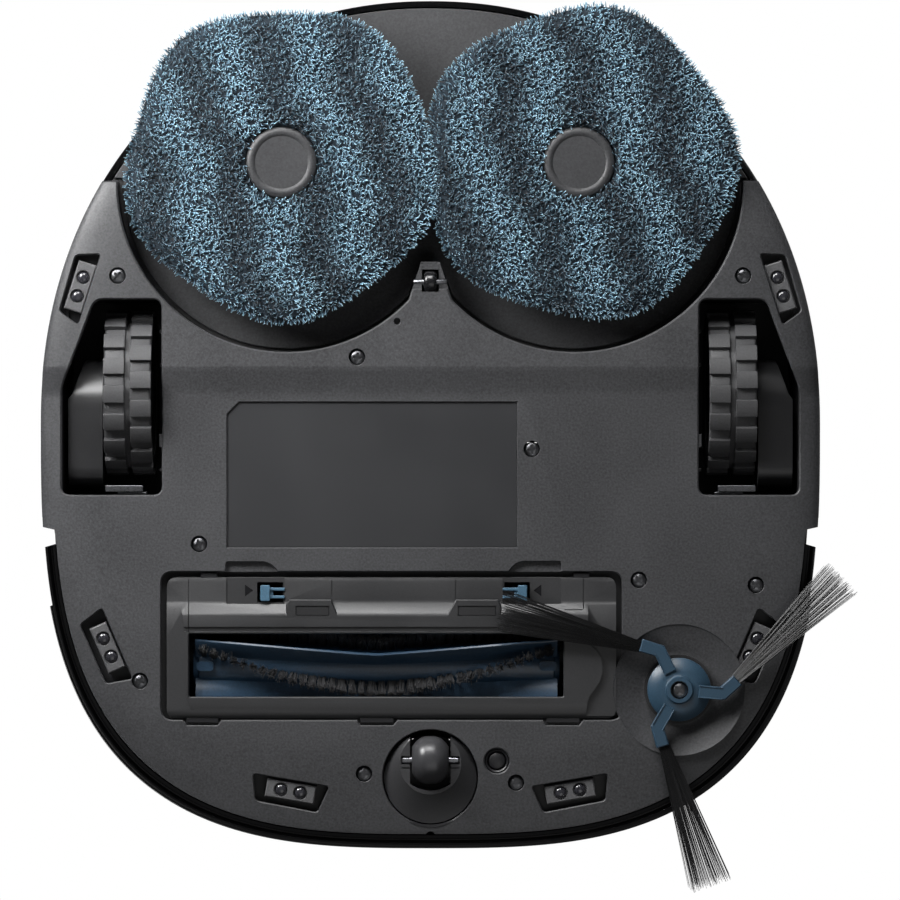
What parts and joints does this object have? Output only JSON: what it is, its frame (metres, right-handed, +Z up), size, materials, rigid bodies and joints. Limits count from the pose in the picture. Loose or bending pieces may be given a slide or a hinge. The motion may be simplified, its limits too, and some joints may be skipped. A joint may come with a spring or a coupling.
{
  "type": "robot vacuum",
  "caption": "Low rounded-square robot vacuum seen as a full assembly: spinning fluffy mop pads, roller brush, side brush, drive wheels, caster, bumper and lidar turret.",
  "frame": {"origin": "middle of the whole object's box, on the floor it stands on", "axes": "+Z up; the bumper faces -Y and the mops are at +Y; +X is the robot's left side"},
  "size_m": [0.342, 0.3737, 0.1138],
  "materials": {
    "charcoal_plastic": "fine-textured moulded charcoal plastic",
    "black_plastic": "satin black moulded plastic",
    "sensor_window": "gloss black window",
    "blue_plastic": "satin slate-blue plastic",
    "black_rubber": "matte moulded rubber",
    "black_bristle": "black nylon bristle",
    "blue_microfibre": "striped blue microfibre pile",
    "dark_steel": "dark plated steel",
    "grey_plastic": "satin grey plastic"
  },
  "bodies": {
    "chassis": {"base_plate": "charcoal_plastic", "tray_rim": "charcoal_plastic", "mop_bay_wall": "charcoal_plastic", "mop_bay_ceiling": "charcoal_plastic", "body_skirt": "charcoal_plastic", "top_panel": "charcoal_plastic", "wheel_housing_left": "black_plastic", "wheel_housing_right": "black_plastic", "brush_chamber": "black_plastic", "side_brush_motor": "black_plastic", "battery_pack": "black_plastic", "fan_housing": "black_plastic", "lidar_base": "charcoal_plastic", "water_tank": "grey_plastic", "cliff_sensor_front_left": "black_plastic", "cliff_sensor_front_right": "black_plastic", "cliff_sensor_rear_left": "black_plastic", "cliff_sensor_rear_right": "black_plastic", "cliff_sensor_side_left": "black_plastic", "cliff_sensor_side_right": "black_plastic", "carpet_sensor": "black_plastic", "charging_contact_left": "dark_steel", "charging_contact_right": "dark_steel"},
    "bumper": {"bumper_shell": "charcoal_plastic", "bumper_strip": "black_plastic", "sensor_window": "sensor_window"},
    "swing_arm_left": {"wheel_arm_left": "black_plastic"},
    "swing_arm_right": {"wheel_arm_right": "black_plastic"},
    "drive_wheel_left": {"wheel_hub_left": "black_plastic", "tyre_left": "black_rubber"},
    "drive_wheel_right": {"wheel_hub_right": "black_plastic", "tyre_right": "black_rubber"},
    "caster_swivel": {"caster_fork": "black_plastic", "caster_axle": "dark_steel"},
    "caster_roller": {"caster_wheel": "black_rubber"},
    "idler": {"idler_roller": "black_plastic"},
    "roller_brush": {"main_brush": "blue_plastic"},
    "cover": {"brush_cover": "charcoal_plastic"},
    "latch_left": {"brush_latch_left": "blue_plastic"},
    "latch_right": {"brush_latch_right": "blue_plastic"},
    "side_brush": {"side_brush_hub": "blue_plastic", "side_brush_screw": "dark_steel", "bristle_bundle_1": "black_bristle", "bristle_bundle_2": "black_bristle", "bristle_bundle_3": "black_bristle"},
    "mop_lift_left": {"mop_gearbox_left": "black_plastic"},
    "mop_lift_right": {"mop_gearbox_right": "black_plastic"},
    "mop_left": {"mop_plate_left": "black_plastic", "mop_pad_left": "blue_microfibre", "mop_cap_left": "charcoal_plastic"},
    "mop_right": {"mop_plate_right": "black_plastic", "mop_pad_right": "blue_microfibre", "mop_cap_right": "charcoal_plastic"},
    "bin": {"dustbin": "grey_plastic"},
    "bin_handle": {"dustbin_handle": "charcoal_plastic"},
    "power_key": {"power_button": "charcoal_plastic"},
    "dock_key": {"dock_button": "charcoal_plastic"},
    "lidar_rotor": {"lidar_head": "sensor_window"},
    "lidar_cover": {"lidar_cap": "charcoal_plastic"},
    "fan_rotor": {"fan_impeller": "grey_plastic"}
  },
  "joints": [
    {"name": "bumper_push", "type": "slide", "parent": "chassis", "child": "bumper", "axis": [0, 1, 0], "range_m": [0, 0.003], "stiffness_N_per_m": 800, "springref_m": -0.001},
    {"name": "wheel_drop_left", "type": "hinge", "parent": "chassis", "child": "swing_arm_left", "pos_m": [0.15075, -0.0112, 0.038], "axis": [-1, 0, 0], "range_deg": [0, 24]},
    {"name": "wheel_spin_left", "type": "hinge", "parent": "swing_arm_left", "child": "drive_wheel_left", "pos_m": [0.1333, 0.0221, 0.035], "axis": [1, 0, 0], "continuous": true},
    {"name": "wheel_drop_right", "type": "hinge", "parent": "chassis", "child": "swing_arm_right", "pos_m": [-0.13675, -0.0112, 0.038], "axis": [-1, 0, 0], "range_deg": [0, 24]},
    {"name": "wheel_spin_right", "type": "hinge", "parent": "swing_arm_right", "child": "drive_wheel_right", "pos_m": [-0.1193, 0.0221, 0.035], "axis": [1, 0, 0], "continuous": true},
    {"name": "caster_turn", "type": "hinge", "parent": "chassis", "child": "caster_swivel", "pos_m": [0.007, -0.139, 0.01], "axis": [0, 0, 1], "continuous": true},
    {"name": "caster_roll", "type": "hinge", "parent": "caster_swivel", "child": "caster_roller", "pos_m": [0.007, -0.1317, 0.01], "axis": [1, 0, 0], "continuous": true},
    {"name": "idler_roll", "type": "hinge", "parent": "chassis", "child": "idler", "pos_m": [0.007, 0.068, 0.0092], "axis": [1, 0, 0], "continuous": true},
    {"name": "main_brush_spin", "type": "hinge", "parent": "chassis", "child": "roller_brush", "pos_m": [0.0296, -0.0922, 0.0245], "axis": [1, 0, 0], "continuous": true},
    {"name": "cover_release", "type": "slide", "parent": "chassis", "child": "cover", "axis": [0, 0, -1], "range_m": [0, 0.03], "deforming": ["bristle_bundle_1", "bristle_bundle_2", "bristle_bundle_3"]},
    {"name": "latch_slide_left", "type": "slide", "parent": "cover", "child": "latch_left", "axis": [-1, 0, 0], "range_m": [0, 0.003], "stiffness_N_per_m": 200, "springref_m": -0.001},
    {"name": "latch_slide_right", "type": "slide", "parent": "cover", "child": "latch_right", "axis": [1, 0, 0], "range_m": [0, 0.003], "stiffness_N_per_m": 200, "springref_m": -0.001},
    {"name": "side_brush_spin", "type": "hinge", "parent": "chassis", "child": "side_brush", "pos_m": [-0.0968, -0.1022, 0.007], "axis": [0, 0, 1], "continuous": true},
    {"name": "mop_raise_left", "type": "slide", "parent": "chassis", "child": "mop_lift_left", "axis": [0, 0, 1], "range_m": [0, 0.009]},
    {"name": "mop_spin_left", "type": "hinge", "parent": "mop_lift_left", "child": "mop_left", "pos_m": [0.06905, 0.1176, 0.01], "axis": [0, 0, 1], "continuous": true},
    {"name": "mop_raise_right", "type": "slide", "parent": "chassis", "child": "mop_lift_right", "axis": [0, 0, 1], "range_m": [0, 0.009]},
    {"name": "mop_spin_right", "type": "hinge", "parent": "mop_lift_right", "child": "mop_right", "pos_m": [-0.05505, 0.1176, 0.01], "axis": [0, 0, 1], "continuous": true},
    {"name": "bin_lift", "type": "slide", "parent": "chassis", "child": "bin", "axis": [0, 0, 1], "range_m": [0, 0.06]},
    {"name": "bin_handle_fold", "type": "hinge", "parent": "bin", "child": "bin_handle", "pos_m": [0.007, -0.0348, 0.095], "axis": [-1, 0, 0], "range_deg": [0, 90]},
    {"name": "power_press", "type": "slide", "parent": "chassis", "child": "power_key", "axis": [0, 0, -1], "range_m": [0, 0.0012], "stiffness_N_per_m": 300, "springref_m": -0.001},
    {"name": "dock_press", "type": "slide", "parent": "chassis", "child": "dock_key", "axis": [0, 0, -1], "range_m": [0, 0.0012], "stiffness_N_per_m": 300, "springref_m": -0.001},
    {"name": "lidar_spin", "type": "hinge", "parent": "chassis", "child": "lidar_rotor", "pos_m": [0.007, 0.0538, 0.104], "axis": [0, 0, 1], "continuous": true},
    {"name": "lidar_cap_press", "type": "slide", "parent": "chassis", "child": "lidar_cover", "axis": [0, 0, -1], "range_m": [0, 0.0012], "stiffness_N_per_m": 1500, "springref_m": -0.001},
    {"name": "fan_spin", "type": "hinge", "parent": "chassis", "child": "fan_rotor", "pos_m": [-0.101, -0.0532, 0.057], "axis": [0, 0, 1], "continuous": true}
  ],
  "couplings": [
    {"joint": "mop_raise_right", "follows": "mop_raise_left", "ratio": 1},
    {"joint": "mop_spin_right", "follows": "mop_spin_left", "ratio": -1}
  ]
}
